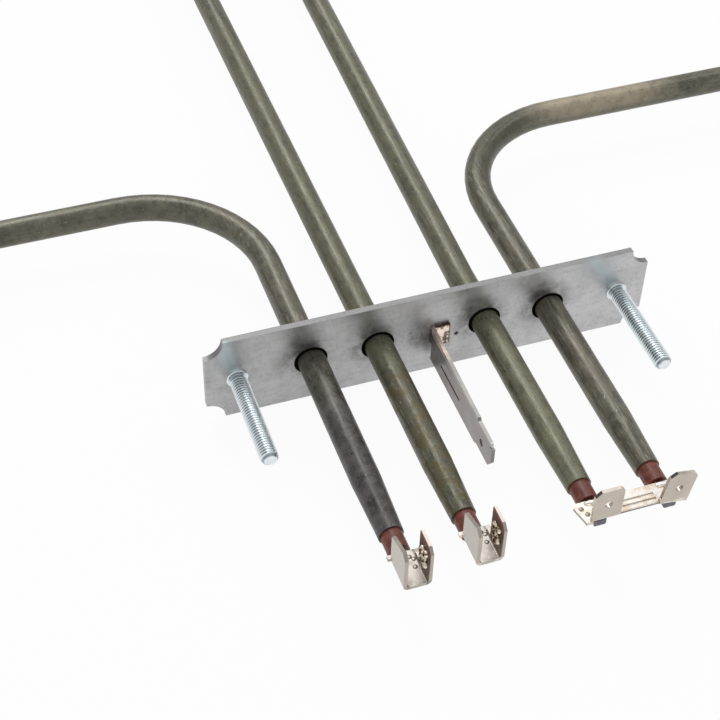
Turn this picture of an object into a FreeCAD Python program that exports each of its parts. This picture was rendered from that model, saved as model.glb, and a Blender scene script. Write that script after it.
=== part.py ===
# Twin tubular heating element on a stud plate.
# X runs along the plate, Y points from the terminals toward the heated loops, Z is up.
# The origin is the centre of the plate's front face, on the plane of the tube axes.
import FreeCAD, Part
import Sketcher
import math
import os
import re

os.makedirs("parts", exist_ok=True)
doc = FreeCAD.newDocument("heating_element")

# Driving sizes, in millimetres
tube_radius = 3.2  # outside radius of both sheaths
outer_leg = 28.1  # half distance between the outer element's legs
inner_leg = 12.65  # half distance between the inner element's legs
left_run = 61.6  # plate front to the left side run's axis
right_run = 66  # plate front to the right side run's axis
shoulder_bend = 29  # bend radius where an outer leg turns sideways
corner_bend = 15  # bend radius at the outer loop's corners
loop_half = 170  # half width of the outer loop
loop_far = 330  # plate front to the outer loop's far run
hairpin_far = 285  # plate front to the centre of the inner hairpin's turn
hairpin_bend = 16.45  # bend radius of that turn, wider than the legs' holes
lean_start = 15  # plate front to where the hairpin's right leg starts to lean out
lean_bend = 14  # bend radius there
taper_start = 36  # plate front to the start of a leg's drawn-down end
sheath_front = 51  # plate front to the open end of a leg
sheath_end_radius = 2.7  # outside radius of a leg at its open end
bore_radius = 2.35  # radius of the cold end's bore
bore_depth = 14  # how far the cold end's bore runs behind the plate front
packed_fit = 0.02  # clearance round the packed powder, the seal and the pin

plate_width = 104  # mounting plate, along X
plate_height = 22.3  # mounting plate, along Z
plate_thick = 1.5  # mounting plate, along Y
plate_notch = 4.2  # radius of the hollow corners
tube_clearance = 0.25  # radial gap between a sheath and its hole in the plate

stud_pitch = 90  # distance between the two studs
stud_radius = 2  # thread's outside radius
stud_length = 25  # stud, from the plate's front
stud_chamfer = 0.7  # chamfer on a stud's tip

pin_radius = 1.18  # cold pin
pin_front = 61.2  # plate front to a pin's free end
pin_back = 8  # how far a pin runs behind the plate front
pin_flat = 1  # height of a pin's pressed end above its axis
pin_flat_low = -0.55  # bottom of the pressed end
pin_flat_wide = 2.7  # width of the pressed end
pin_flat_back = 55.7  # plate front to the back of the pressed end
seal_front = 55.6  # plate front to a seal's outer face
seal_inside = 3  # how deep a seal sits in its sheath

sheet_thick = 0.8  # metal of the terminals and the earth tab
bend_inside = 0.4  # inside radius of a sheet bend
blade_width = 6.3  # width of a push-on blade
blade_chamfer = 1.3  # cut corners of a blade
blade_hole = 0.85  # radius of a blade's catch hole

clip_width = 5.9  # outside width of a channel terminal
clip_length = 7.2  # length of a channel terminal's left wall
clip_short = 1.7  # how much shorter the right wall is at its rear
clip_height = 10.1  # height of a channel terminal
clip_low = 8  # height of the left wall's rear edge, from where its top rises
clip_tail = 1.2  # web left standing behind the walls
clip_ear = 0.4  # how far an ear reaches past its wall
clip_relief = 0.3  # how far the ears stand forward of the walls' rear edge
clip_shift = 0.2  # channel terminal's centre beside its pin's axis
first_clip_back = 58.1  # plate front to the first channel's walls
second_clip_back = 57  # plate front to the second channel's walls

bridge_overhang = 4.2  # strip's left end beside the third leg's axis
bridge_slant = 1  # how far that end slants along the strip
bridge_corner = 0.9  # cut from that end's rear corner
bridge_right_end = 3.6  # strip's right end beside the fourth leg's axis
bridge_back = 56.3  # plate front to the strip's rear edge
bridge_relief = 60.9  # plate front to the strip's edge between the blades
bridge_front = 61.6  # plate front to the front of the upright blades
bridge_top = 10.1  # top of the upright blades
first_blade = 0.95  # left blade's middle beside the third leg's axis
second_blade = 0.45  # middle of the right blade's root beside the fourth leg's axis
blade_lean = 10  # how far the right blade leans over sideways, in degrees
blade_root = 2  # height where the leaning blade begins
blade_nick = 0.9  # smaller corner cut at a bridge blade's right top
rib_margin = 5.4  # end of a groove beside a leg's axis
rib_wide = 0.6  # width of a groove
rib_deep = 0.3  # depth of a groove
rib_first = 58.6  # plate front to the first groove
rib_second = 59.9  # plate front to the second groove

earth_left = -0.5  # left face of the earth blade
earth_foot_right = 4  # right end of the earth tab's foot
earth_foot_low = -3.45  # bottom of the foot
earth_foot_high = 2.2  # top of the foot
earth_root = 1.2  # plate front to the free part of the earth blade
earth_fall = 0.9  # how much the wide part's top edge falls toward the step
earth_bottom = -6.9  # bottom edge of the wide part
earth_step = 28  # plate front to the step down to the plug-in part
earth_step_long = 0.6  # length of that step
earth_tip = 36.3  # plate front to the tip
earth_tab_top = 0.75  # top edge of the plug-in part
earth_tab_bottom = -6.2  # bottom edge of the plug-in part
earth_notch = 1  # small notch in the tip's upper corner
earth_tip_cut = 2  # corner cut from the tip's lower corner, along Z
earth_tip_cut_long = 1.4  # the same cut, along Y
slit_front = 18.3  # far end of the slit from the plate
slit_back = 7.2  # near end of the slit
slit_middle = -3.3  # height of the slit
slit_wide = 0.6  # width of the slit
earth_hole = 31  # plate front to the earth blade's hole
earth_hole_height = -3.4  # height of that hole

# The same sizes as aliases of a sheet
driving = {name: amount for name, amount in globals().items() if isinstance(amount, (int, float))}
sheet = doc.addObject("Spreadsheet::Sheet", "Sizes")
for row, name in enumerate(driving, start=1):
    sheet.set("A%d" % row, name.replace("_", " "))
    sheet.set("B%d" % row, str(driving[name]))
    sheet.setAlias("B%d" % row, name)
doc.recompute()


# Expressions: plain words in a text are names in the sheet, apart from cos and sin
def link(text):
    return re.sub(r"([a-z][a-z_]+)\b(?!\()", r"Sizes.\1", text)


def number(text):
    return float(sheet.evalExpression(link(text)))


def sign(amount):
    if abs(amount) < 1e-9:
        return 0
    return 1 if amount > 0 else -1


def moved(text, steps, distance):
    if steps == 0:
        return text
    return "(%s)%s(%s)" % (text, "+" if steps > 0 else "-", distance)


# Sketches
def body(name):
    made = doc.addObject("PartDesign::Body", name)
    made.Label = name
    return made


def sketch(owner, role, lift="0"):
    made = owner.newObject("Sketcher::SketchObject", owner.Name + "_sketch")
    for plane in owner.Origin.OriginFeatures:
        if plane.Role == role:
            made.AttachmentSupport = (plane, [""])
    made.MapMode = "FlatFace"
    if lift != "0":
        made.setExpression("AttachmentOffset.Base.z", link(lift))
    return made


def hold(sk, line, end, across, up):
    for kind, axis, text in (("DistanceX", -2, across), ("DistanceY", -1, up)):
        if text == "0":
            sk.addConstraint(Sketcher.Constraint("PointOnObject", line, end, axis))
            continue
        index = sk.addConstraint(Sketcher.Constraint(kind, -1, 1, line, end, number(text)))
        sk.setExpression("Constraints[%d]" % index, link(text))


def radius(sk, curve, text):
    index = sk.addConstraint(Sketcher.Constraint("Radius", curve, number(text)))
    sk.setExpression("Constraints[%d]" % index, link(text))


def spot(across, up):
    return FreeCAD.Vector(number(across), number(up), 0)


def trace(sk, corners, closed=True):
    # A chain of straight lines; a corner with a third entry is rounded, and its sides run along the axes
    count = len(corners)
    inward = []
    outward = []
    for i, corner in enumerate(corners):
        here = spot(corner[0], corner[1])
        if len(corner) < 3:
            inward.append((corner[0], corner[1]))
            outward.append((corner[0], corner[1]))
            continue
        before = spot(*corners[i - 1][:2])
        after = spot(*corners[(i + 1) % count][:2])
        ux, uy = sign(here.x - before.x), sign(here.y - before.y)
        wx, wy = sign(after.x - here.x), sign(after.y - here.y)
        inward.append((moved(corner[0], -ux, corner[2]), moved(corner[1], -uy, corner[2])))
        outward.append((moved(corner[0], wx, corner[2]), moved(corner[1], wy, corner[2])))
    lines = []
    for i in range(count if closed else count - 1):
        start = outward[i]
        end = inward[(i + 1) % count]
        lines.append(sk.addGeometry(Part.LineSegment(spot(*start), spot(*end)), False))
    for i, line in enumerate(lines):
        hold(sk, line, 1, *outward[i])
    for i, corner in enumerate(corners):
        if not closed and i in (0, count - 1):
            continue
        arriving = lines[i - 1]
        leaving = lines[i % len(lines)]
        if len(corner) < 3:
            sk.addConstraint(Sketcher.Constraint("Coincident", arriving, 2, leaving, 1))
            continue
        hold(sk, arriving, 2, *inward[i])
        bend = number(corner[2])
        here = spot(corner[0], corner[1])
        start = spot(*inward[i])
        end = spot(*outward[i])
        centre = start + end - here
        turn = (here - start).cross(end - here).z
        middle = centre + (here - centre).normalize() * bend
        if turn > 0:
            arc = sk.addGeometry(Part.Arc(start, middle, end), False)
            first, last = 1, 2
        else:
            arc = sk.addGeometry(Part.Arc(end, middle, start), False)
            first, last = 2, 1
        sk.addConstraint(Sketcher.Constraint("Coincident", arriving, 2, arc, first))
        sk.addConstraint(Sketcher.Constraint("Coincident", arc, last, leaving, 1))
        radius(sk, arc, corner[2])
    if not closed:
        hold(sk, lines[-1], 2, *inward[-1])


def ring(sk, across, up, bend):
    curve = sk.addGeometry(Part.Circle(spot(across, up), FreeCAD.Vector(0, 0, 1), number(bend)), False)
    hold(sk, curve, 3, across, up)
    radius(sk, curve, bend)


# Features
def volume(owner):
    doc.recompute()
    return owner.Shape.Volume if owner.Tip else 0


def pad(owner, sk, length, back=False):
    made = owner.newObject("PartDesign::Pad", owner.Name + "_pad")
    made.Profile = sk
    made.Reversed = back
    made.setExpression("Length", link(length))
    return made


def pocket(owner, sk, length, back=False):
    before = volume(owner)
    made = owner.newObject("PartDesign::Pocket", owner.Name + "_pocket")
    made.Profile = sk
    made.Reversed = back
    made.setExpression("Length", link(length))
    if volume(owner) > before - 1e-4:
        raise RuntimeError("nothing cut from " + owner.Name)
    return made


def turned(owner, axis, corners, kind="PartDesign::Revolution"):
    # Corners are given as radius and Y, round an axis along Y at the given X
    sk = sketch(owner, "XY_Plane")
    low = min(corners, key=lambda corner: number(corner[1]))[1]
    high = max(corners, key=lambda corner: number(corner[1]))[1]
    line = sk.addGeometry(Part.LineSegment(spot(axis, low), spot(axis, high)), True)
    hold(sk, line, 1, axis, low)
    hold(sk, line, 2, axis, high)
    trace(sk, [("(%s)+(%s)" % (axis, reach), along) for reach, along in corners])
    made = owner.newObject(kind, owner.Name + "_turned")
    made.Profile = sk
    made.ReferenceAxis = (sk, ["Axis0"])
    made.Angle = 360
    return made


def swept(owner, path, axis):
    # A round bar drawn along a path that starts at the taper
    profile = sketch(owner, "XZ_Plane", "taper_start")
    ring(profile, axis, "0", "tube_radius")
    made = owner.newObject("PartDesign::AdditivePipe", owner.Name + "_pipe")
    made.Profile = profile
    made.Spine = (path, [])
    return made


# Sheaths: each is one bent tube with a drawn-down, bored cold end on both legs
def cold_end(owner, axis):
    turned(owner, axis, [
        ("0", "-sheath_front"),
        ("sheath_end_radius", "-sheath_front"),
        ("tube_radius", "-taper_start"),
        ("0", "-taper_start"),
    ])
    turned(owner, axis, [
        ("0", "-sheath_front-1"),
        ("bore_radius", "-sheath_front-1"),
        ("bore_radius", "bore_depth"),
        ("0", "bore_depth"),
    ], "PartDesign::Groove")


outer = body("outer_sheath")
outer_path = sketch(outer, "XY_Plane")
trace(outer_path, [
    ("-outer_leg", "-taper_start"),
    ("-outer_leg", "left_run", "shoulder_bend"),
    ("-loop_half", "left_run", "corner_bend"),
    ("-loop_half", "loop_far", "corner_bend"),
    ("loop_half", "loop_far", "corner_bend"),
    ("loop_half", "right_run", "corner_bend"),
    ("outer_leg", "right_run", "shoulder_bend"),
    ("outer_leg", "-taper_start"),
], closed=False)
swept(outer, outer_path, "-outer_leg")
for side in ("-outer_leg", "outer_leg"):
    cold_end(outer, side)

inner = body("inner_sheath")
inner_path = sketch(inner, "XY_Plane")
# The right leg leans out behind the plate, so its line is tangent to a slight bend and to the far turn
across = number("2*inner_leg+lean_bend-hairpin_bend")
along = number("hairpin_far-lean_start")
lean = math.asin(number("lean_bend+hairpin_bend") / math.hypot(across, along)) - math.atan2(across, along)
side_step = FreeCAD.Vector(math.cos(lean), -math.sin(lean), 0)
turn_centre = spot("hairpin_bend-inner_leg", "hairpin_far")
lean_centre = spot("inner_leg+lean_bend", "lean_start")
turn_leaves = turn_centre + side_step * number("hairpin_bend")
lean_begins = lean_centre - side_step * number("lean_bend")
half_lean = FreeCAD.Vector(math.cos(lean / 2), -math.sin(lean / 2), 0)
left_line = inner_path.addGeometry(
    Part.LineSegment(spot("-inner_leg", "-taper_start"), spot("-inner_leg", "hairpin_far")), False)
turn_arc = inner_path.addGeometry(Part.Arc(
    turn_leaves, spot("hairpin_bend-inner_leg", "hairpin_far+hairpin_bend"),
    spot("-inner_leg", "hairpin_far")), False)
leaning_line = inner_path.addGeometry(Part.LineSegment(turn_leaves, lean_begins), False)
lean_arc = inner_path.addGeometry(Part.Arc(
    lean_begins, lean_centre - half_lean * number("lean_bend"), spot("inner_leg", "lean_start")), False)
right_line = inner_path.addGeometry(
    Part.LineSegment(spot("inner_leg", "lean_start"), spot("inner_leg", "-taper_start")), False)
hold(inner_path, left_line, 1, "-inner_leg", "-taper_start")
hold(inner_path, left_line, 2, "-inner_leg", "hairpin_far")
hold(inner_path, right_line, 1, "inner_leg", "lean_start")
hold(inner_path, right_line, 2, "inner_leg", "-taper_start")
inner_path.addConstraint([
    Sketcher.Constraint("Tangent", left_line, 2, turn_arc, 2),
    Sketcher.Constraint("Tangent", turn_arc, 1, leaning_line, 1),
    Sketcher.Constraint("Tangent", leaning_line, 2, lean_arc, 1),
    Sketcher.Constraint("Tangent", lean_arc, 2, right_line, 1),
])
radius(inner_path, turn_arc, "hairpin_bend")
radius(inner_path, lean_arc, "lean_bend")
swept(inner, inner_path, "-inner_leg")
for side in ("-inner_leg", "inner_leg"):
    cold_end(inner, side)

# Mounting plate with hollow corners and four tube holes
plate = body("mounting_plate")
blank = sketch(plate, "XZ_Plane")
trace(blank, [
    ("-plate_width/2", "-plate_height/2"),
    ("plate_width/2", "-plate_height/2"),
    ("plate_width/2", "plate_height/2"),
    ("-plate_width/2", "plate_height/2"),
])
pad(plate, blank, "plate_thick", back=True)
holes = sketch(plate, "XZ_Plane", "0-plate_thick-1")
for side in ("-outer_leg", "-inner_leg", "inner_leg", "outer_leg"):
    ring(holes, side, "0", "tube_radius+tube_clearance")
for across in ("-plate_width/2", "plate_width/2"):
    for up in ("-plate_height/2", "plate_height/2"):
        ring(holes, across, up, "plate_notch")
pocket(plate, holes, "plate_thick+2", back=True)

# Weld studs
for name, side in (("left_stud", "-stud_pitch/2"), ("right_stud", "stud_pitch/2")):
    turned(body(name), side, [
        ("0", "-stud_length"),
        ("stud_radius-stud_chamfer", "-stud_length"),
        ("stud_radius", "-stud_length+stud_chamfer"),
        ("stud_radius", "0"),
        ("0", "0"),
    ])

# Cold pins, packed powder and end seals, one of each in every leg
legs = (("first", "-outer_leg"), ("second", "-inner_leg"), ("third", "inner_leg"), ("fourth", "outer_leg"))
for order, side in legs:
    pin = body(order + "_cold_pin")
    turned(pin, side, [
        ("0", "-pin_flat_back"),
        ("pin_radius", "-pin_flat_back"),
        ("pin_radius", "pin_back"),
        ("0", "pin_back"),
    ])
    pressed = sketch(pin, "XZ_Plane", "pin_flat_back")
    trace(pressed, [
        ("(%s)-pin_flat_wide/2" % side, "pin_flat_low", "bend_inside"),
        ("(%s)+pin_flat_wide/2" % side, "pin_flat_low", "bend_inside"),
        ("(%s)+pin_flat_wide/2" % side, "pin_flat"),
        ("(%s)-pin_flat_wide/2" % side, "pin_flat"),
    ])
    pad(pin, pressed, "pin_front-pin_flat_back")
    turned(body(order + "_powder_fill"), side, [
        ("pin_radius+packed_fit", "-sheath_front+seal_inside"),
        ("bore_radius-packed_fit", "-sheath_front+seal_inside"),
        ("bore_radius-packed_fit", "bore_depth"),
        ("0", "bore_depth"),
        ("0", "pin_back"),
        ("pin_radius+packed_fit", "pin_back"),
    ])
    turned(body(order + "_end_seal"), side, [
        ("pin_radius+packed_fit", "-seal_front"),
        ("bore_radius-packed_fit", "-seal_front"),
        ("bore_radius-packed_fit", "-sheath_front+seal_inside"),
        ("pin_radius+packed_fit", "-sheath_front+seal_inside"),
    ])

# Channel terminals on the first two legs: a web on the pin's flat, with two upright walls
channels = (("first", "-outer_leg", "first_clip_back"), ("second", "-inner_leg", "second_clip_back"))
for order, side, back in channels:
    clip = body(order + "_channel_terminal")
    middle = "(%s)+clip_shift" % side
    left = "(%s)-clip_width/2" % middle
    right = "(%s)+clip_width/2" % middle
    outside = "sheet_thick+bend_inside"
    top = "pin_flat+clip_height"
    section = sketch(clip, "XZ_Plane", back)
    trace(section, [
        (left, "pin_flat", outside),
        (right, "pin_flat", outside),
        (right, top),
        ("(%s)-sheet_thick" % right, top),
        ("(%s)-sheet_thick" % right, "pin_flat+sheet_thick", "bend_inside"),
        ("(%s)+sheet_thick" % left, "pin_flat+sheet_thick", "bend_inside"),
        ("(%s)+sheet_thick" % left, top),
        (left, top),
    ])
    pad(clip, section, "clip_length")
    tail = sketch(clip, "XY_Plane", "pin_flat")
    trace(tail, [
        ("(%s)+bend_inside" % left, "-(%s)-1" % back),
        ("(%s)-bend_inside" % right, "-(%s)-1" % back),
        ("(%s)-bend_inside" % right, "-(%s)+clip_relief" % back),
        ("(%s)+clip_ear" % right, "-(%s)+clip_relief" % back),
        ("(%s)+clip_ear" % right, "-(%s)+clip_tail" % back),
        ("(%s)-clip_ear" % left, "-(%s)+clip_tail" % back),
        ("(%s)-clip_ear" % left, "-(%s)+clip_relief" % back),
        ("(%s)+bend_inside" % left, "-(%s)+clip_relief" % back),
    ])
    pad(clip, tail, "sheet_thick")
    # The left wall's top rises from its rear edge, the right wall starts further forward
    front = "(%s)+clip_length" % back
    rise = sketch(clip, "YZ_Plane", "(%s)-1" % left)
    trace(rise, [
        ("-(%s)+1" % back, "pin_flat+clip_low"),
        ("-(%s)" % back, "pin_flat+clip_low"),
        ("-(%s)+blade_chamfer" % front, top),
        ("-(%s)+blade_chamfer" % front, "(%s)+1" % top),
        ("-(%s)+1" % back, "(%s)+1" % top),
    ])
    pocket(clip, rise, "clip_width/2+1", back=True)
    late = sketch(clip, "YZ_Plane", middle)
    trace(late, [
        ("-(%s)+1" % back, "pin_flat+" + outside),
        ("-(%s)-clip_short" % back, "pin_flat+" + outside),
        ("-(%s)-clip_short" % back, "(%s)+1" % top),
        ("-(%s)+1" % back, "(%s)+1" % top),
    ])
    pocket(clip, late, "clip_width/2+1", back=True)
    corner = sketch(clip, "YZ_Plane", "(%s)-1" % left)
    trace(corner, [
        ("-(%s)+blade_chamfer" % front, "(%s)+1" % top),
        ("-(%s)+blade_chamfer" % front, top),
        ("-(%s)" % front, "(%s)-blade_chamfer" % top),
        ("-(%s)-1" % front, "(%s)-blade_chamfer" % top),
        ("-(%s)-1" % front, "(%s)+1" % top),
    ])
    pocket(clip, corner, "clip_width+2", back=True)

# Bridge terminal across the last two legs: a strip on both pins with two upright blades
bridge = body("bridge_terminal")
left_blade = "inner_leg+first_blade"
right_blade = "outer_leg+second_blade"
strip = sketch(bridge, "XY_Plane", "pin_flat")
trace(strip, [
    ("inner_leg-bridge_overhang+bridge_corner", "-bridge_back"),
    ("inner_leg-bridge_overhang", "-bridge_back-bridge_corner"),
    ("inner_leg-bridge_overhang+bridge_slant", "-bridge_front"),
    ("%s-blade_width/2+bend_inside" % left_blade, "-bridge_front"),
    ("%s-blade_width/2+bend_inside" % left_blade, "-bridge_relief"),
    ("outer_leg+bridge_right_end", "-bridge_relief"),
    ("outer_leg+bridge_right_end", "-bridge_back"),
])
pad(bridge, strip, "sheet_thick")
for middle, top in ((left_blade, "bridge_top"), (right_blade, "blade_root+1")):
    bent = sketch(bridge, "YZ_Plane", "%s-blade_width/2" % middle)
    trace(bent, [
        ("-bridge_front", "pin_flat", "sheet_thick+bend_inside"),
        ("-bridge_relief+1", "pin_flat"),
        ("-bridge_relief+1", "pin_flat+sheet_thick"),
        ("-bridge_front+sheet_thick", "pin_flat+sheet_thick", "bend_inside"),
        ("-bridge_front+sheet_thick", top),
        ("-bridge_front", top),
    ])
    pad(bridge, bent, "blade_width")


# The right blade leans over sideways: a point on it is given along its width and its height
def leaned(width, height):
    across = "%s-blade_width/2+(%s)*cos(blade_lean)+(%s)*sin(blade_lean)" % (right_blade, width, height)
    up = "blade_root-(%s)*sin(blade_lean)+(%s)*cos(blade_lean)" % (width, height)
    return across, up


leaning = sketch(bridge, "XZ_Plane", "bridge_front")
tall = "bridge_top-blade_root"
trace(leaning, [
    leaned("0", "0-bend_inside/2"),
    leaned("blade_width", "0-bend_inside/2"),
    leaned("blade_width", tall + "-blade_nick"),
    leaned("blade_width-blade_nick", tall),
    leaned("blade_chamfer", tall),
    leaned("0", tall + "-blade_chamfer"),
])
pad(bridge, leaning, "sheet_thick", back=True)
trim = sketch(bridge, "XZ_Plane", "bridge_front-sheet_thick-1")
for edge, way, cut in ((left_blade + "-blade_width/2", 1, "blade_chamfer"),
                       (left_blade + "+blade_width/2", -1, "blade_nick")):
    trace(trim, [
        (moved(edge, way, cut), "bridge_top+1"),
        (moved(edge, way, cut), "bridge_top"),
        (edge, "bridge_top-" + cut),
        (moved(edge, -way, "1"), "bridge_top-" + cut),
        (moved(edge, -way, "1"), "bridge_top+1"),
    ])
ring(trim, left_blade, "bridge_top-blade_width/2-1", "blade_hole")
ring(trim, *leaned("blade_width/2", tall + "-blade_width/2-1"), "blade_hole")
pocket(bridge, trim, "sheet_thick+2", back=True)
ribs = sketch(bridge, "XY_Plane", "pin_flat+sheet_thick-rib_deep")
for along in ("rib_first", "rib_second"):
    trace(ribs, [
        ("inner_leg+rib_margin", "-%s-rib_wide/2" % along),
        ("outer_leg-rib_margin/2", "-%s-rib_wide/2" % along),
        ("outer_leg-rib_margin/2", "-%s+rib_wide/2" % along),
        ("inner_leg+rib_margin", "-%s+rib_wide/2" % along),
    ])
pocket(bridge, ribs, "1", back=True)

# Earth tab: a foot welded to the plate, bent into a stepped blade with a long slit
earth = body("earth_tab")
foot = sketch(earth, "XY_Plane", "earth_foot_low")
trace(foot, [
    ("earth_left", "0", "sheet_thick+bend_inside"),
    ("earth_left", "-earth_root-1"),
    ("earth_left+sheet_thick", "-earth_root-1"),
    ("earth_left+sheet_thick", "-sheet_thick", "bend_inside"),
    ("earth_foot_right", "-sheet_thick"),
    ("earth_foot_right", "0"),
])
pad(earth, foot, "earth_foot_high-earth_foot_low")
blade = sketch(earth, "YZ_Plane", "earth_left")
trace(blade, [
    ("-earth_root", "earth_bottom"),
    ("-earth_root", "earth_foot_high"),
    ("-earth_step", "earth_foot_high-earth_fall"),
    ("-earth_step-earth_step_long", "earth_tab_top"),
    ("-earth_tip+earth_notch", "earth_tab_top"),
    ("-earth_tip+earth_notch", "earth_tab_top-earth_notch"),
    ("-earth_tip", "earth_tab_top-earth_notch"),
    ("-earth_tip", "earth_tab_bottom+earth_tip_cut"),
    ("-earth_tip+earth_tip_cut_long", "earth_tab_bottom"),
    ("-earth_step-earth_step_long", "earth_tab_bottom"),
    ("-earth_step+earth_step_long", "earth_bottom"),
])
pad(earth, blade, "sheet_thick")
openings = sketch(earth, "YZ_Plane", "earth_left-1")
trace(openings, [
    ("-slit_front", "slit_middle-slit_wide/2"),
    ("-slit_back", "slit_middle-slit_wide/2"),
    ("-slit_back", "slit_middle+slit_wide/2"),
    ("-slit_front", "slit_middle+slit_wide/2"),
])
ring(openings, "-earth_hole", "earth_hole_height", "blade_hole")
pocket(earth, openings, "sheet_thick+2", back=True)

# Every feature is checked before anything is written
doc.recompute()
for thing in doc.Objects:
    if "Invalid" in thing.State or "Error" in thing.State:
        raise RuntimeError("feature failed: " + thing.Name)
for thing in doc.Objects:
    if thing.TypeId == "PartDesign::Body":
        shape = thing.Shape
        if shape.isNull() or not shape.isValid() or len(shape.Solids) != 1:
            raise RuntimeError("bad solid: " + thing.Label)
        shape.exportStep("parts/%s.step" % thing.Label)
        print(thing.Label, round(shape.Volume, 2))
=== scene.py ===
from math import cos, pi, radians, sin, tau

import bmesh
import bpy
from mathutils import Matrix, Vector
from mathutils.noise import noise_vector, seed_set


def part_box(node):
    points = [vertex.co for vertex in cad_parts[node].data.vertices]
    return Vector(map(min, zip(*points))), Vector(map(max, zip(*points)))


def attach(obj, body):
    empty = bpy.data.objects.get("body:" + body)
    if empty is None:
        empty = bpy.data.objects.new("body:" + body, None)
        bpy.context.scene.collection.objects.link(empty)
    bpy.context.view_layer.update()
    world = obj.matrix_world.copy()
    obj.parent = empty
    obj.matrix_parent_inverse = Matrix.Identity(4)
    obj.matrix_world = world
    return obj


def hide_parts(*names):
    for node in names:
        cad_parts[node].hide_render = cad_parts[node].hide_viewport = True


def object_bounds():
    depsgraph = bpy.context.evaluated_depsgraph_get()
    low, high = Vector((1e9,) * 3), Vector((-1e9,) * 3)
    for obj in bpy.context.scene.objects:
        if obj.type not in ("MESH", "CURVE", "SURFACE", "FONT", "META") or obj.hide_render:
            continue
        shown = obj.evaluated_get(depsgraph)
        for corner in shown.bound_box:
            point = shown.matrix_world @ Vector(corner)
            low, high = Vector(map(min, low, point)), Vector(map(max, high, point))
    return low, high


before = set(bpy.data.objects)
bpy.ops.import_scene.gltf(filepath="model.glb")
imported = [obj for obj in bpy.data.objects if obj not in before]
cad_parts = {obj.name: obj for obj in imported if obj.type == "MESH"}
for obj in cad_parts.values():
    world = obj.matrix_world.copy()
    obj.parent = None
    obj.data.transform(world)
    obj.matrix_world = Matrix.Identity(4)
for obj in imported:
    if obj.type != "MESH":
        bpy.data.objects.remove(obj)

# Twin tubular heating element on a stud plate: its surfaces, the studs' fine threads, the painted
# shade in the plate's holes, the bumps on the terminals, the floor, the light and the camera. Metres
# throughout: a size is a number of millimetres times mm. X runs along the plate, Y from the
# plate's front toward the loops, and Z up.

mm = 0.001
cad_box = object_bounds()
legs = ("first", "second", "third", "fourth")

# Camera, solved from the photograph
camera_place = Vector((-107.55, -243.39, 260.19)) * mm
camera_azimuth = -20.44
camera_elevation = 45.42
camera_roll = 1.84
camera_lens = 83.7
sensor_width = 36

# Plate and tubes
plate_notch = 4.2 * mm  # radius of the plate's hollow corners
tube_radius = 3.2 * mm
hole_gap = 0.25 * mm
hole_radius = tube_radius + hole_gap

# Stud threads and collars, from the plate's front
thread_pitch = 0.7 * mm
thread_depth = 0.43 * mm
thread_start = 1.1 * mm
thread_points = 48  # round the stud
thread_marks = ((0.0, 0.0), (0.14, 0.0), (0.44, 1.0), (0.68, 1.0))  # share of the pitch, of the depth
rows_per_turn = len(thread_marks)
stud_chamfer = 0.7 * mm
sharp_edge = radians(28)
collar_radius = 2.45 * mm
collar_height = 0.6 * mm
collar_side = 0.45 * mm  # height of its straight side
collar_taper = 0.2 * mm

# Rings of painted shade in the plate's tube holes
shade_front = 0.4 * mm
shade_back = 1.1 * mm
shade_points = 84  # round the tube

# Sheet terminals
sheet_thick = 0.8 * mm
ear_reach = 0.4 * mm  # how far a channel's ear stands past its right wall
above_web = (1.85 * mm, 1.95 * mm)  # heights just above the channels' webs and the bridge's strip
strip_front = -60.9 * mm  # front edge of the bridge's strip between the blades
blade_front = -61.6 * mm
slant_slope = 0.2273  # the slanting left end of the strip: X plus this much of Y
slant_line = -4.5 * mm
blade_corners = ((11.1, -61.2, 9.45), (27.6, -61.2, 9.4))  # cut top corners, in millimetres

# Weld spots on the terminals' webs: X and Y in millimetres
weld_spots = {
    "first_channel_terminal": ((-27.1, -58.5), (-26.4, -59.2), (-26.8, -61.1)),
    "second_channel_terminal": ((-11.5, -57.2), (-10.9, -57.9), (-11.3, -59.8)),
    "bridge_terminal": ((9.8, -58.0), (10.5, -59.6), (30.6, -57.9), (31.0, -59.5)),
}
weld_radius = 0.38 * mm
bridge_weld_radius = 0.52 * mm

# Bumps inside a channel's right wall: X from the wall's face, Y from its front end and Z, then the
# half sizes, all in millimetres
wall_bumps = (((-0.2, 3.2, 8.3), (0.9, 1.0, 0.85)), ((-0.1, 1.7, 8.4), (0.8, 0.8, 0.8)),
              ((-0.2, 2.5, 6.7), (0.95, 1.0, 0.8)), ((-0.25, 1.7, 5.4), (0.95, 1.0, 0.8)))
# Bumps where the bridge's strip is pressed over its pins: how far left of each leg's axis, then
# their Y, Z and half sizes, all in millimetres
pin_bump_left = {"third": 0.4, "fourth": 0.0}
pin_bump_y = -57.0
pin_bump_z = 1.65
pin_bump_halves = (1.6, 0.8, 0.6)
bump_fineness = 4  # subdivisions of a bump's sphere
bump_grain = 1.1  # noise per millimetre
bump_unevenness = 0.08 * mm
bump_seed = 1795785842  # without one, noise_vector differs from run to run

# Floor and light
floor_size = 20
floor_y = 0.1  # its middle
floor_drop = 0.2 * mm  # below the part
floor_grey = 0.86
floor_white = 0.94  # share of plain white that the camera and reflections see
light_target = (0, 0.02, 0)
world_strength = 0.65


# Places taken from the model's parts

def middle(node):
    """How far along X a node's middle lies."""
    low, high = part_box(node)
    return (low[0] + high[0]) / 2


def wall_face(terminal):
    """The inner face of a channel's right wall."""
    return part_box(terminal)[1][0] - ear_reach - sheet_thick


def weld_places(terminal):
    """A terminal's weld spots, on top of its web."""
    web_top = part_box(terminal)[0][2] + sheet_thick
    return [(x * mm, y * mm, web_top) for x, y in weld_spots[terminal]]


leg_axis = {leg: middle(leg + "_end_seal") for leg in legs}
stud_axis = middle("right_stud")
stud_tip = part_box("right_stud")[0][1]


# Materials

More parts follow.
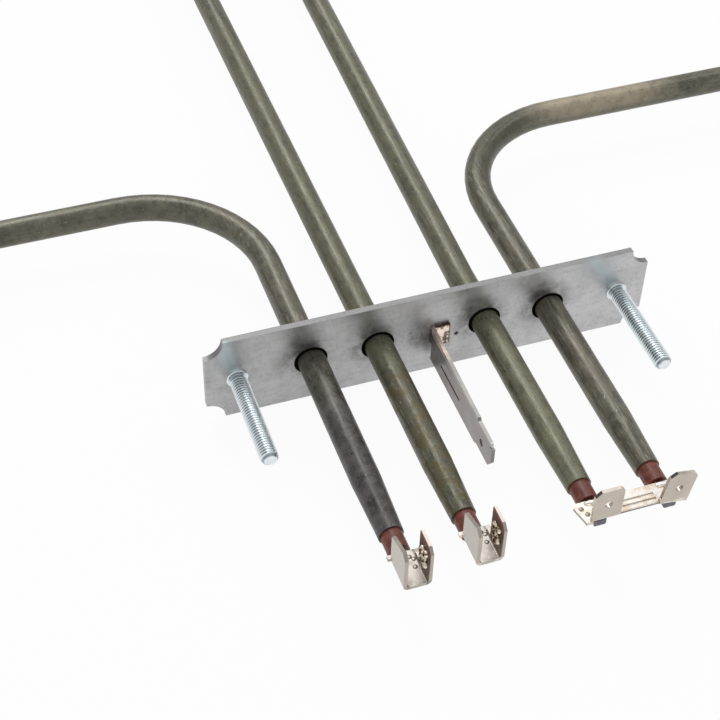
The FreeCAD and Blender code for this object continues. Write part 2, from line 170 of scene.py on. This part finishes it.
class Look:
    """A Principled material and short calls for the nodes that feed it."""

    def __init__(self, name, metallic, roughness):
        self.material = bpy.data.materials.new(name)
        self.material.use_nodes = True
        self.tree = self.material.node_tree
        self.shader = self.tree.nodes["Principled BSDF"]
        self.metallic(metallic)
        self.roughness(roughness)
        self.place = self.node("ShaderNodeTexCoord").outputs["Object"]
        self.dull = 0.0  # least roughness, which a paint function may raise

    def node(self, kind, settings=None, **inputs):
        node = self.tree.nodes.new(kind)
        for key, value in (settings or {}).items():
            setattr(node, key, value)
        for key, value in inputs.items():
            self.feed(node.inputs[key], value)
        return node

    def feed(self, socket, value):
        if isinstance(value, bpy.types.NodeSocket):
            self.tree.links.new(value, socket)
        else:
            socket.default_value = value

    def colour(self, value):
        self.feed(self.shader.inputs["Base Color"], value)

    def metallic(self, value):
        self.feed(self.shader.inputs["Metallic"], value)

    def roughness(self, value):
        self.feed(self.shader.inputs["Roughness"], value)

    def specular(self, value):
        self.feed(self.shader.inputs["Specular IOR Level"], value)

    def bump(self, height, distance, strength):
        """One more bump, on top of those already there."""
        bump = self.node("ShaderNodeBump", Strength=strength, Distance=distance, Height=height)
        normal = self.shader.inputs["Normal"]
        if normal.links:
            self.feed(bump.inputs["Normal"], normal.links[0].from_socket)
        self.feed(normal, bump.outputs[0])

    def matt_shade(self, hole_shade, metallic, roughness):
        """Painted shade is rough, and takes the metal and the gloss away."""
        self.metallic(self.below(hole_shade, 0.0, 1.0, metallic))
        self.specular(self.below(hole_shade, 0.0, 1.0, 0.5))
        self.roughness(self.greatest(hole_shade, roughness))

    def math(self, operation, first, second=0.0, clamp=False):
        node = self.node("ShaderNodeMath", {"operation": operation, "use_clamp": clamp})
        self.feed(node.inputs[0], first)
        self.feed(node.inputs[1], second)
        return node.outputs[0]

    def joined(self, operation, first, *others):
        """The values joined in turn by one operation."""
        for value in others:
            first = self.math(operation, first, value)
        return first

    def product(self, *values):
        return self.joined("MULTIPLY", *values)

    def greatest(self, *values):
        return self.joined("MAXIMUM", *values)

    def axis(self, name):
        return self.node("ShaderNodeSeparateXYZ", Vector=self.place).outputs[name]

    def stretched(self, x, y, z):
        """The place, scaled so that a texture's grain is long along the small factors."""
        node = self.node("ShaderNodeVectorMath", {"operation": "MULTIPLY"})
        self.feed(node.inputs[0], self.place)
        self.feed(node.inputs[1], (x, y, z))
        return node.outputs[0]

    def noise(self, scale, detail, roughness, vector=None):
        node = self.node("ShaderNodeTexNoise", Scale=scale, Detail=detail, Roughness=roughness,
                         Vector=vector or self.place)
        return node.outputs["Fac"]

    def between(self, value, low, high, low_out, high_out):
        """The value's range from low to high, turned smoothly into another range."""
        node = self.node("ShaderNodeMapRange", {"interpolation_type": "SMOOTHSTEP"})
        for socket, number in zip(node.inputs, (value, low, high, low_out, high_out)):
            self.feed(socket, number)
        return node.outputs[0]

    def above(self, value, low, high, most=1.0):
        """0 where the value is under low, most where it is over high."""
        return self.between(value, low, high, 0.0, most)

    def below(self, value, low, high, most=1.0):
        """Most where the value is under low, 0 where it is over high."""
        return self.between(value, low, high, most, 0.0)

    def band(self, value, rise, fall):
        """1 between two soft edges, each given as the two values that it lies between."""
        return self.product(self.above(value, *rise), self.below(value, *fall))

    def mix(self, amount, first, second):
        """Two colours mixed by amount."""
        node = self.node("ShaderNodeMix", {"data_type": "RGBA"})
        self.feed(node.inputs[0], amount)
        self.feed(node.inputs[6], first)
        self.feed(node.inputs[7], second)
        return node.outputs[2]

    def blend(self, amount, first, second):
        """Two plain values mixed by amount."""
        node = self.node("ShaderNodeMix", {"data_type": "FLOAT"})
        self.feed(node.inputs[0], amount)
        self.feed(node.inputs[2], first)
        self.feed(node.inputs[3], second)
        return node.outputs[0]

    def reach(self, across, up):
        """The length of two lengths at a right angle."""
        squares = self.math("ADD", self.product(across, across), self.product(up, up))
        return self.math("SQRT", squares)

    def from_axis(self, across, up=0.0):
        """How far a point is from a line along Y at the given X and Z."""
        return self.reach(self.math("SUBTRACT", self.axis("X"), across),
                          self.math("SUBTRACT", self.axis("Z"), up))

    def spot(self, centre, radius, soft):
        """1 inside a ball round a point, fading out over soft."""
        node = self.node("ShaderNodeVectorMath", {"operation": "DISTANCE"})
        self.feed(node.inputs[0], self.place)
        self.feed(node.inputs[1], centre)
        return self.below(node.outputs["Value"], radius, radius + soft)


def tint(red, green, blue):
    """A colour written as the eye sees it, 0 to 255, turned into linear light by the sRGB curve."""
    shares = (red / 255, green / 255, blue / 255)
    linear = [((s + 0.055) / 1.055) ** 2.4 if s > 0.04045 else s / 12.92 for s in shares]
    return (*linear, 1.0)


def sheath_steel():
    """Oxidised steel tube: olive grey, streaked along its length, mottled and flecked."""
    look = Look("oxidised_sheath_steel", 0.3, 0.38)
    aside = look.math("ABSOLUTE", look.axis("X"))
    sideways = look.above(aside, 46 * mm, 62 * mm)

    def streaks(scale, along):
        """Noise drawn out along the tube: along Y in the legs, along X in the side runs."""
        return look.blend(sideways, look.noise(scale, 3, 0.6, look.stretched(1, along, 1)),
                          look.noise(scale, 3, 0.6, look.stretched(along, 1, 1)))

    fine = streaks(2300, 0.07)
    coarse = streaks(800, 0.06)
    mottle = look.noise(330, 6, 0.7)
    broad = look.noise(42, 3, 0.55)
    # The bends and side runs are smoother than the legs
    lively = look.between(aside, 26 * mm, 36 * mm, 1.0, 0.35)
    colour = look.mix(look.above(mottle, 0.35, 0.65), tint(77, 77, 65), tint(111, 110, 93))
    colour = look.mix(look.above(broad, 0.4, 0.65, 0.6), colour, tint(110, 101, 88))
    colour = look.mix(look.product(lively, look.above(coarse, 0.5, 0.68, 0.7)), colour, tint(56, 57, 50))
    colour = look.mix(look.product(lively, look.above(fine, 0.54, 0.68, 0.5)), colour, tint(160, 157, 138))
    colour = right_side_tones(look, colour, mottle)
    colour = leg_tones(look, colour, mottle, broad)
    # Pale flecks and dark pits
    flecks = look.above(look.noise(1900, 2, 0.75, look.stretched(1, 0.3, 1)), 0.66, 0.73, 0.6)
    colour = look.mix(flecks, colour, tint(168, 165, 150))
    pits = look.below(look.noise(1300, 3, 0.7), 0.3, 0.4, 0.6)
    colour = look.mix(pits, colour, tint(44, 43, 36))
    # Painted shade where the tube passes through the plate
    hole_shade = look.band(look.axis("Y"), (-0.3 * mm, 0.1 * mm), (1.6 * mm, 2.4 * mm))
    look.colour(look.mix(hole_shade, colour, tint(18, 17, 16)))
    look.matt_shade(hole_shade, 0.3, look.between(look.math("ADD", fine, mottle), 0.8, 1.2, 0.27, 0.47))
    look.bump(look.product(coarse, lively), 0.08 * mm, 0.3)
    look.bump(look.product(look.noise(1500, 4, 0.6), lively), 0.05 * mm, 0.5)
    return look.material


def right_side_tones(look, colour, mottle):
    """The right bend is darker and greener, then comes a sand-coloured stretch of painted light on top of
    the side run.
    """
    x, y = look.axis("X"), look.axis("Y")
    bend = look.product(look.above(x, 26 * mm, 32 * mm, 0.55), look.below(x, 44 * mm, 54 * mm),
                        look.above(y, 15 * mm, 35 * mm))
    colour = look.mix(bend, colour, tint(66, 69, 55))
    # Painted light: a sand-coloured pool of light on the upper side of the side run
    top_light_patch = look.product(look.band(x, (46 * mm, 60 * mm), (78 * mm, 96 * mm)),
                         look.band(y, (55 * mm, 60 * mm), (75 * mm, 80 * mm)),
                         look.between(look.axis("Z"), -1.0 * mm, 1.8 * mm, 0.1, 1.0),
                         look.between(mottle, 0.35, 0.6, 0.55, 0.75))
    return look.mix(top_light_patch, colour, tint(182, 170, 148))


def leg_tones(look, colour, mottle, broad):
    """Leg 1 is charcoal in front of the plate, the inner legs are greener, leg 2 olive-gold."""
    x, y = look.axis("X"), look.axis("Y")
    charcoal = look.mix(look.above(mottle, 0.35, 0.65), tint(44, 43, 44), tint(86, 82, 82))
    first_leg = look.product(look.between(y, -24 * mm, -6 * mm, 1.0, 0.35),
                             look.below(y, -1 * mm, 4 * mm), look.below(x, -23 * mm, -21 * mm),
                             look.between(broad, 0.3, 0.6, 0.8, 1.0))
    colour = look.mix(first_leg, colour, charcoal)
    # In front of the plate the third leg is green all along, the second only near the plate
    forward = look.product(look.greatest(look.above(y, -14 * mm, -6 * mm), look.above(x, -2 * mm, 2 * mm)),
                           look.below(y, 0.0, 2 * mm))
    behind = look.product(look.above(y, 1 * mm, 3 * mm, 0.8), look.below(y, 100 * mm, 160 * mm))
    greener = look.product(look.greatest(forward, behind),
                           look.below(look.math("ABSOLUTE", x), 19 * mm, 20 * mm),
                           look.between(mottle, 0.35, 0.6, 0.3, 0.7))
    green = look.mix(look.above(y, 0.0, 2 * mm), tint(116, 119, 94), tint(100, 103, 78))
    colour = look.mix(greener, colour, green)
    golden = look.product(look.between(y, -16 * mm, -6 * mm, 1.0, 0.1),
                          look.band(x, (-20 * mm, -19 * mm), (-2 * mm, 2 * mm)),
                          look.above(mottle, 0.44, 0.58, 0.85))
    return look.mix(golden, colour, tint(88, 79, 44))


def plate_zinc():
    """Zinc-plated plate: satin grey, faintly brushed, smoke-stained round the tube holes with a black rim of
    painted shade in each, and painted lighter toward the right end.
    """
    look = Look("zinc_plate", 0.8, 0.42)
    cloud = look.noise(150, 6, 0.65)
    grain = look.noise(900, 3, 0.6, look.stretched(0.2, 1, 1))
    peel = look.noise(1100, 3, 0.7)
    # Painted light: lighter toward the right end, darker toward the left
    dull = look.mix(look.above(cloud, 0.35, 0.65), tint(168, 168, 168), tint(192, 192, 192))
    right_lit_tone = look.mix(look.above(cloud, 0.35, 0.65), tint(190, 190, 191), tint(210, 210, 211))
    colour = look.mix(look.above(look.axis("X"), -50 * mm, 50 * mm), dull, right_lit_tone)
    colour = look.mix(look.above(grain, 0.5, 0.75, 0.2), colour, tint(122, 122, 122))
    colour = look.mix(look.above(peel, 0.52, 0.7, 0.3), colour, tint(112, 112, 112))
    colour = stud_streaks(look, colour)
    colour = shaded_edges(look, colour)
    colour, rim_shade = smoke_and_rim_shade(look, colour)
    look.colour(colour)
    look.matt_shade(rim_shade, 0.8, look.between(cloud, 0.3, 0.7, 0.36, 0.48))
    look.bump(grain, 0.02 * mm, 0.15)
    look.bump(peel, 0.03 * mm, 0.3)
    return look.material


def stud_streaks(look, colour):
    """A pale streak above each stud, where the plate's front mirrors it."""
    x, z = look.axis("X"), look.axis("Z")
    in_front = look.below(look.axis("Y"), 0.3 * mm, 0.8 * mm, 0.7)
    for side, slope in ((-1, 0.28), (1, 0.6)):
        drift = look.math("ADD", x, look.product(z, slope))
        aside = look.math("ABSOLUTE", look.math("SUBTRACT", drift, side * stud_axis))
        streak = look.product(look.below(aside, 0.5 * mm, 2.6 * mm), look.above(z, 1.5 * mm, 2.6 * mm))
        colour = look.mix(look.product(streak, in_front), colour, tint(214, 226, 230))
    return colour


def shaded_edges(look, colour):
    """Painted shade: the walls of the plate's hollow corners and its top edge are painted dark."""
    x, z = look.axis("X"), look.axis("Z")
    right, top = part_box("mounting_plate")[1][0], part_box("mounting_plate")[1][2]
    from_corner = look.reach(look.math("SUBTRACT", right, look.math("ABSOLUTE", x)),
                             look.math("SUBTRACT", top, look.math("ABSOLUTE", z)))
    hollow = look.below(from_corner, plate_notch + 0.02 * mm, plate_notch + 0.07 * mm, 0.6)
    colour = look.mix(hollow, colour, tint(70, 70, 70))
    return look.mix(look.above(z, top - 0.06 * mm, top - 0.02 * mm, 0.6), colour, tint(60, 60, 60))


def smoke_and_rim_shade(look, colour):
    """Soot round the tube holes, a black rim of painted shade in each hole, smoke from the earth tab's spot
    weld, and one dark spatter.
    """
    grime = look.noise(260, 5, 0.7)
    shade_rims = []
    for axis in leg_axis.values():
        halo = look.spot((axis - 1.4 * mm, 0, 1.6 * mm), 2.8 * mm, 5.6 * mm)
        colour = look.mix(look.product(halo, look.between(grime, 0.38, 0.6, 0.2, 0.7)), colour,
                          tint(84, 82, 79))
        # Painted shade: a black rim round each hole, a little wider on the upper left
        rim = look.greatest(
            look.below(look.from_axis(axis), hole_radius + 0.15 * mm, hole_radius + 0.3 * mm),
            look.below(look.from_axis(axis - 0.15 * mm, 0.15 * mm), hole_radius + 0.25 * mm,
                       hole_radius + 0.5 * mm))
        colour = look.mix(rim, colour, tint(16, 15, 14))
        shade_rims.append(rim)
    smoke = look.spot((-2.2 * mm, 0, 0), 1.2 * mm, 5.5 * mm)
    colour = look.mix(look.product(smoke, look.between(grime, 0.36, 0.6, 0.15, 0.7)), colour,
                      tint(84, 80, 78))
    spatter = look.spot((5.9 * mm, -0.1 * mm, -1.9 * mm), 0.3 * mm, 0.5 * mm)
    return look.mix(spatter, colour, tint(50, 48, 46)), look.greatest(*shade_rims)


def stud_zinc():
    """Bright zinc thread: bluish, with painted shade in the roots."""
    look = Look("bright_zinc_thread", 1.0, 0.25)
    wear = look.noise(500, 4, 0.6)
    across = look.math("SUBTRACT", look.math("ABSOLUTE", look.axis("X")), stud_axis)
    crest = look.mix(look.above(wear, 0.35, 0.7), tint(222, 230, 234), tint(240, 246, 248))
    # From the tip's face to the collar
    threaded = look.band(look.axis("Y"), (stud_tip + 0.05 * mm, stud_tip + 0.2 * mm),
                         (-collar_height - 0.1 * mm, -collar_height))
    # Painted shade darkens the thread's roots
    root = look.product(look.below(look.reach(across, look.axis("Z")), 1.6 * mm, 1.9 * mm), threaded, 0.7)
    look.colour(look.mix(root, crest, tint(120, 130, 136)))
    look.roughness(look.between(wear, 0.3, 0.7, 0.26, 0.4))
    return look.material


def nickel(name, spots=(), warm=(198, 188, 177), rough=0.24, paint=None, burn=(60, 50, 42),
           weld=weld_radius):
    """Nickel-plated sheet: warm, bright, finely scratched, with dark C-shaped weld spots."""
    look = Look(name, 1.0, rough)
    cloud = look.noise(260, 3, 0.55)
    scratch = look.noise(2000, 2, 0.6, look.stretched(1, 0.15, 0.3))
    light, dark = tint(*warm), tint(*(0.93 * part for part in warm))
    colour = look.mix(look.above(cloud, 0.3, 0.7), dark, light)
    colour = look.mix(look.above(scratch, 0.6, 0.8, 0.08), colour, tint(160, 150, 138))
    if paint:
        colour = paint(look, colour)
    dents = []
    for spot in spots:
        outer = look.spot(spot, weld, 0.16 * mm)
        inner = look.spot(Vector(spot) + Vector((-0.37, 0.32, 0)) * weld, 0.5 * weld, 0.14 * mm)
        rim = look.math("SUBTRACT", outer, inner, clamp=True)
        colour = look.mix(look.product(rim, 0.9), colour, tint(*burn))
        dents.append(outer)
    look.colour(colour)
    look.roughness(look.greatest(look.dull, look.between(cloud, 0.3, 0.7, rough - 0.06, rough + 0.08)))
    look.bump(scratch, 0.01 * mm, 0.06)
    if dents:
        look.bump(look.math("SUBTRACT", 1.0, look.greatest(*dents)), 0.12 * mm, 0.8)
        look.bump(look.noise(260, 1, 0.5), 0.12 * mm, 0.25)
    return look.material


def hollow_wall(terminal, web_dark, web_light):
    """A channel's smooth web, painted darker with soft painted highlights, and its right wall inside:
    painted shade below, a painted red-brown reflection of the seal on top.
    """
    face = wall_face(terminal)

    def paint(look, colour):
        x, z = look.axis("X"), look.axis("Z")
        inside = look.band(x, (face - 0.5 * mm, face - 0.2 * mm), (face + 0.1 * mm, face + 0.2 * mm))
        # Painted shade inside the right wall, golden brown low down and dark higher up, with a painted
        # red-brown reflection of the seal along its top
        wall_shade_and_reflection = look.mix(look.above(z, 2 * mm, 8 * mm), tint(140, 128, 108), tint(92, 82, 66))
        wall_shade_and_reflection = look.mix(look.above(z, 8.2 * mm, 9.2 * mm), wall_shade_and_reflection, tint(124, 84, 76))
        colour = look.mix(look.product(inside, 0.92), colour, wall_shade_and_reflection)
        look.metallic(look.between(inside, 0.0, 1.0, 1.0, 0.35))
        # Painted shade darkens the web, and light blotches on it are soft painted highlights
        web = look.below(z, *above_web)
        look.dull = look.greatest(look.product(inside, 0.55), look.product(web, 0.4))
        cloud = look.above(look.noise(330, 1, 0.5), 0.42, 0.62)
        return look.mix(look.product(web, 0.75), colour, look.mix(cloud, tint(*web_dark), tint(*web_light)))

    return paint


def pressed(look, colour):
    """Pressed or welded bumps, in patches of bright cream and brown; the colour passed in is not used."""
    # Painted light and shade on the bumps: cream patches stand in for highlights, brown ones for shade
    return look.mix(look.above(look.noise(1100, 2, 0.5), 0.4, 0.56), tint(120, 102, 78), tint(236, 224, 200))


def bridge_sheen(look, colour):
    """Painted light and shade on the bridge: warm highlight patches on the strip, shaded cut edges, shaded
    corner cuts on the blades.
    """
    x, y, z = look.axis("X"), look.axis("Y"), look.axis("Z")
    flat = look.below(z, *above_web)
    look.metallic(look.between(flat, 0.0, 1.0, 1.0, 0.6))
    # Painted highlight: warm light patches over the strip's top
    patches = look.above(look.noise(420, 3, 0.6), 0.4, 0.62)
    colour = look.mix(look.product(flat, 0.75), colour,
                      look.mix(patches, tint(222, 206, 184), tint(248, 243, 236)))
    # Painted shade on the strip's cut edges: in front between the blades, and the slanting left end
    front = look.band(y, (strip_front - 0.3 * mm, strip_front - 0.2 * mm),
                      (strip_front + 0.02 * mm, strip_front + 0.06 * mm))
    slant = look.math("ADD", x, look.product(y, slant_slope))
    cut = look.greatest(front, look.below(slant, slant_line, slant_line + 0.08 * mm))
    under = look.below(z, 1.42 * mm, 1.49 * mm, 0.8)
    colour = look.mix(look.product(cut, under), colour, tint(104, 92, 82))
    # Painted shade on the blades' cut top corners
    inside = look.above(y, blade_front + 0.04 * mm, blade_front + 0.12 * mm, 0.85)
    for corner in blade_corners:
        dark = look.product(look.spot(Vector(corner) * mm, 0.8 * mm, 0.15 * mm), inside)
        colour = look.mix(dark, colour, tint(52, 50, 48))
    return colour


def heated_tab(look, colour):
    """The earth tab: tarnished near the plate, a painted highlight along the top edge, a coppery spot-welded
    foot with painted highlights, and a painted glint at the tip.
    """
    x, y, z = look.axis("X"), look.axis("Y"), look.axis("Z")
    colour = look.mix(look.above(y, -24 * mm, -7 * mm, 0.9), colour, tint(98, 88, 87))
    # Painted highlight along the top edge: grey toward the tip, coppery near the plate
    edge = look.mix(look.above(y, -12 * mm, -6 * mm), tint(142, 142, 136), tint(222, 202, 188))
    colour = look.mix(look.above(z, 0.66 * mm, 0.72 * mm, 0.85), colour, edge)
    # The foot: copper heat colour in patches with painted highlights, and its rim stayed dark
    foot = look.product(look.above(x, 0.3 * mm, 0.6 * mm), look.above(y, -1.1 * mm, -0.9 * mm))
    sheen_patches = look.above(look.noise(620, 3, 0.6), 0.42, 0.56)
    copper = look.mix(sheen_patches, tint(112, 92, 80), tint(252, 236, 222))
    colour = look.mix(look.product(foot, 0.9), colour, copper)
    rim = look.greatest(look.above(x, 3.55 * mm, 3.8 * mm), look.below(z, -3.3 * mm, -3.0 * mm),
                        look.above(z, 2.0 * mm, 2.15 * mm))
    colour = look.mix(look.product(foot, rim, 0.8), colour, tint(72, 58, 50))
    # A painted glint in the notch at the tip
    tip_glint = look.spot((0.1 * mm, -35.35 * mm, 0.25 * mm), 0.6 * mm, 0.1 * mm)
    look.metallic(look.math("SUBTRACT", 1.0, tip_glint))
    return look.mix(tip_glint, colour, tint(236, 234, 230))


def seal_compound():
    """Red-brown end seal: nearly matt and slightly grainy."""
    look = Look("red_brown_seal", 0.0, 0.42)
    cloud = look.noise(800, 4, 0.65)
    look.colour(look.mix(look.above(cloud, 0.35, 0.68), tint(90, 37, 26), tint(124, 61, 46)))
    look.roughness(look.between(cloud, 0.3, 0.7, 0.32, 0.55))
    look.bump(cloud, 0.08 * mm, 0.35)
    return look.material


def pin_steel():
    """Cold pin: dull dark steel."""
    look = Look("dark_pin_steel", 0.7, 0.42)
    cloud = look.noise(800, 4, 0.6)
    look.colour(look.mix(look.above(cloud, 0.3, 0.7), tint(88, 87, 92), tint(124, 122, 128)))
    look.roughness(look.between(cloud, 0.3, 0.7, 0.32, 0.5))
    look.bump(cloud, 0.04 * mm, 0.25)
    return look.material


def packed_powder():
    """Packed insulating powder: chalky and speckled."""
    look = Look("packed_powder", 0.0, 0.9)
    grains = look.noise(3000, 3, 0.7)
    look.colour(look.mix(look.above(grains, 0.4, 0.65), tint(214, 210, 202), tint(236, 234, 228)))
    look.bump(grains, 0.05 * mm, 0.4)
    return look.material


def black_gap_shade():
    """Painted shade for the gaps round the tubes: dead black, a little crumbly."""
    look = Look("black_gap_shade", 0.0, 1.0)
    grains = look.noise(2600, 3, 0.7)
    look.colour(look.mix(look.above(grains, 0.4, 0.65), tint(12, 11, 11), tint(30, 28, 26)))
    look.specular(0.0)
    look.bump(grains, 0.03 * mm, 0.4)
    return look.material


def dress(node, material):
    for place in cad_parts[node].material_slots:
        place.link = "OBJECT"
        place.material = material


sheath, seal, pin, powder = sheath_steel(), seal_compound(), pin_steel(), packed_powder()
dress("outer_sheath", sheath)
dress("inner_sheath", sheath)
dress("mounting_plate", plate_zinc())
dress("earth_tab", nickel("nickel_earth_tab", warm=(139, 132, 128), rough=0.3, paint=heated_tab))
for leg in legs:
    dress(leg + "_cold_pin", pin)
    dress(leg + "_powder_fill", powder)
    dress(leg + "_end_seal", seal)
# Painted shade: the first channel's web is painted darker than the second's
for terminal, web_dark, web_light in (("first_channel_terminal", (138, 132, 127), (184, 178, 172)),
                                      ("second_channel_terminal", (184, 177, 169), (230, 224, 216))):
    dress(terminal, nickel("nickel_" + terminal, weld_places(terminal), warm=(186, 177, 168),
                           paint=hollow_wall(terminal, web_dark, web_light)))
dress("bridge_terminal", nickel("nickel_bridge_terminal", weld_places("bridge_terminal"),
                                paint=bridge_sheen, burn=(104, 86, 70), weld=bridge_weld_radius))


# Pieces of the scene

def mesh_from(name, rows, faces):
    """A mesh on the rows' points, numbered row after row."""
    mesh = bpy.data.meshes.new(name)
    mesh.from_pydata([point for row in rows for point in row], [], faces)
    mesh.validate()
    return mesh


def smooth(mesh):
    mesh.polygons.foreach_set("use_smooth", [True] * len(mesh.polygons))


def add_piece(name, mesh, material):
    """A mesh as a piece of its own, fixed to the root body."""
    piece = bpy.data.objects.new(name, mesh)
    bpy.context.scene.collection.objects.link(piece)
    mesh.materials.append(material)
    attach(piece, "root")
    return piece


def round_axis(centre, radius, forward, share):
    """A point round an axis along Y, forward of the plate's front, at a share of the full turn."""
    return (centre[0] + radius * sin(tau * share), -forward, centre[1] + radius * cos(tau * share))


def ring_rows(profile, centre, count):
    """Rings of points, one for each forward place and radius of the profile."""
    return [[round_axis(centre, radius, forward, j / count) for j in range(count)]
            for forward, radius in profile]


# Studs with their threads

def thread_rows(major, length, centre):
    """Rows that climb the helix: crest, flank and root, tapered off at the tip."""
    turns = int((length - thread_start) / thread_pitch) + 2
    root = major - thread_depth
    rows = []
    for turn in range(-1, turns):
        for share, depth in thread_marks:
            row = []
            for j in range(thread_points):
                forward = thread_start + (turn + share + j / thread_points) * thread_pitch
                forward = min(max(forward, thread_start), length)
                limit = major - max(0.0, stud_chamfer - (length - forward))
                fade = min(1.0, (forward - thread_start) / thread_pitch)
                radius = min(limit, root + (major - root) * (1 - depth) * fade)
                row.append(round_axis(centre, radius, forward, j / thread_points))
            rows.append(row)
    return rows


def threaded_stud(name, node, material):
    """A stud with its thread and its weld collar, in place of the plain one."""
    low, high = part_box(node)
    centre = ((low[0] + high[0]) / 2, (low[2] + high[2]) / 2)
    major, length = (high[0] - low[0]) / 2, -low[1]
    root, tip_radius = major - thread_depth, major - stud_chamfer
    base = ring_rows(((0.0, root), (0.0, collar_radius), (collar_side, collar_radius),
                      (collar_height, collar_radius - collar_taper), (collar_height, root),
                      (thread_start, root)), centre, thread_points)
    tip = ring_rows(((length, tip_radius), (length, tip_radius / 2)), centre, thread_points)
    rows = base + thread_rows(major, length, centre) + tip
    faces = []
    last_climbing = len(rows) - len(tip) - 1
    for i in range(len(rows) - 1):
        for j in range(thread_points):
            # Past a full turn a climbing row meets the row one pitch further on
            on = i, i + 1
            if j == thread_points - 1 and len(base) <= i < last_climbing:
                on = [min(row + rows_per_turn, last_climbing) for row in on]
            k = (j + 1) % thread_points
            faces.append((i * thread_points + j, on[0] * thread_points + k,
                          on[1] * thread_points + k, (i + 1) * thread_points + j))
    # The two ends
    faces.append(tuple(reversed(range(thread_points))))
    faces.append(tuple(range((len(rows) - 1) * thread_points, len(rows) * thread_points)))
    mesh = mesh_from(name, rows, faces)
    smooth(mesh)
    mesh.set_sharp_from_angle(angle=sharp_edge)
    stud = add_piece(name, mesh, material)
    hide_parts(node)


zinc = stud_zinc()
threaded_stud("left_threaded_stud", "left_stud", zinc)
threaded_stud("right_threaded_stud", "right_stud", zinc)


# Painted shade in the holes round the tubes

def gap_shade_ring(name, leg, material):
    """A thin black ring of painted shade that closes the gap between a tube and the plate."""
    rows = ring_rows(((-shade_front, tube_radius), (-shade_front, hole_radius),
                      (-shade_back, hole_radius), (-shade_back, tube_radius)),
                     (leg_axis[leg], 0.0), shade_points)
    faces = []
    for i in range(len(rows)):
        here, there = i * shade_points, (i + 1) % len(rows) * shade_points
        for j in range(shade_points):
            k = (j + 1) % shade_points
            faces.append((here + j, here + k, there + k, there + j))
    add_piece(name, mesh_from(name, rows, faces), material)


hole_shade = black_gap_shade()
for leg in legs:
    gap_shade_ring(leg + "_hole_gap_shade", leg, hole_shade)


# Bumps on the terminals

def bumps(name, places, material):
    """Small uneven mounds, each given as its centre and half sizes, in millimetres."""
    shape = bmesh.new()
    for centre, halves in places:
        size = Matrix.Diagonal((*(Vector(halves) * mm), 1))
        bmesh.ops.create_icosphere(shape, subdivisions=bump_fineness, radius=1,
                                   matrix=Matrix.Translation(Vector(centre) * mm) @ size)
    for vert in shape.verts:
        vert.co += noise_vector(vert.co / mm * bump_grain) * bump_unevenness
    mesh = bpy.data.meshes.new(name)
    shape.to_mesh(mesh)
    shape.free()
    smooth(mesh)
    add_piece(name, mesh, material)


seed_set(bump_seed)
pressed_nickel = nickel("nickel_bumps", warm=(222, 208, 180), rough=0.3, paint=pressed)
for terminal in ("first_channel_terminal", "second_channel_terminal"):
    corner = (wall_face(terminal) / mm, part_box(terminal)[0][1] / mm, 0)
    bumps(terminal.replace("terminal", "wall_bumps"),
          [(Vector(corner) + Vector(place), halves) for place, halves in wall_bumps], pressed_nickel)
# Painted highlight: the bumps over the pins are a near-white copy of the nickel
bumps("bridge_pin_bumps", [((leg_axis[leg] / mm - left, pin_bump_y, pin_bump_z), pin_bump_halves)
                           for leg, left in pin_bump_left.items()],
      nickel("nickel_pin_bumps", warm=(244, 240, 232), rough=0.34))


# Floor, light and camera

def floor_sheet():
    """White to the camera and in reflections, and it keeps a faint shadow."""
    bpy.ops.mesh.primitive_plane_add(size=floor_size, location=(0, floor_y, cad_box[0][2] - floor_drop))
    floor = bpy.context.object
    floor.name = "floor"
    look = Look("white_floor", 0.0, 0.9)
    look.colour((floor_grey, floor_grey, floor_grey, 1))
    seen = look.node("ShaderNodeLightPath")
    white = look.node("ShaderNodeEmission", Color=(1, 1, 1, 1))
    plain = look.greatest(seen.outputs["Is Camera Ray"], seen.outputs["Is Glossy Ray"])
    both = look.node("ShaderNodeMixShader")
    look.feed(both.inputs[0], look.product(plain, floor_white))
    look.feed(both.inputs[1], look.shader.outputs[0])
    look.feed(both.inputs[2], white.outputs[0])
    look.feed(look.tree.nodes["Material Output"].inputs["Surface"], both.outputs[0])
    floor.data.materials.append(look.material)


def soft_light(name, place, width, height, power):
    """A rectangular lamp that faces the plate."""
    lamp = bpy.data.lights.new(name, "AREA")
    lamp.shape = "RECTANGLE"
    lamp.size, lamp.size_y, lamp.energy = width, height, power
    light = bpy.data.objects.new(name, lamp)
    bpy.context.scene.collection.objects.link(light)
    light.location = place
    aim = Vector(place) - Vector(light_target)
    light.rotation_euler = aim.to_track_quat("Z", "Y").to_euler()


floor_sheet()
soft_light("back_softbox", (-0.03, 0.82, 0.92), width=0.34, height=0.8, power=4.5)
soft_light("right_back_softbox", (0.36, 0.74, 0.86), width=0.3, height=0.5, power=0.85)
soft_light("right_softbox", (0.8, 0.4, 0.98), width=0.34, height=0.3, power=1.2)

world = bpy.data.worlds.new("studio")
bpy.context.scene.world = world
world.use_nodes = True
world.node_tree.nodes["Background"].inputs["Color"].default_value = (1, 1, 1, 1)
world.node_tree.nodes["Background"].inputs["Strength"].default_value = world_strength

lens = bpy.data.cameras.new("photograph_view")
lens.lens, lens.sensor_width, lens.sensor_fit = camera_lens, sensor_width, "HORIZONTAL"
lens.clip_start, lens.clip_end = 0.01, 20
camera = bpy.data.objects.new("photograph_view", lens)
bpy.context.scene.collection.objects.link(camera)
turn = (Matrix.Rotation(radians(camera_azimuth), 4, "Z")
        @ Matrix.Rotation(pi / 2 - radians(camera_elevation), 4, "X")
        @ Matrix.Rotation(radians(camera_roll), 4, "Z"))
camera.matrix_world = Matrix.Translation(camera_place) @ turn
bpy.context.scene.camera = camera
bpy.context.scene.view_settings.view_transform = "Standard"
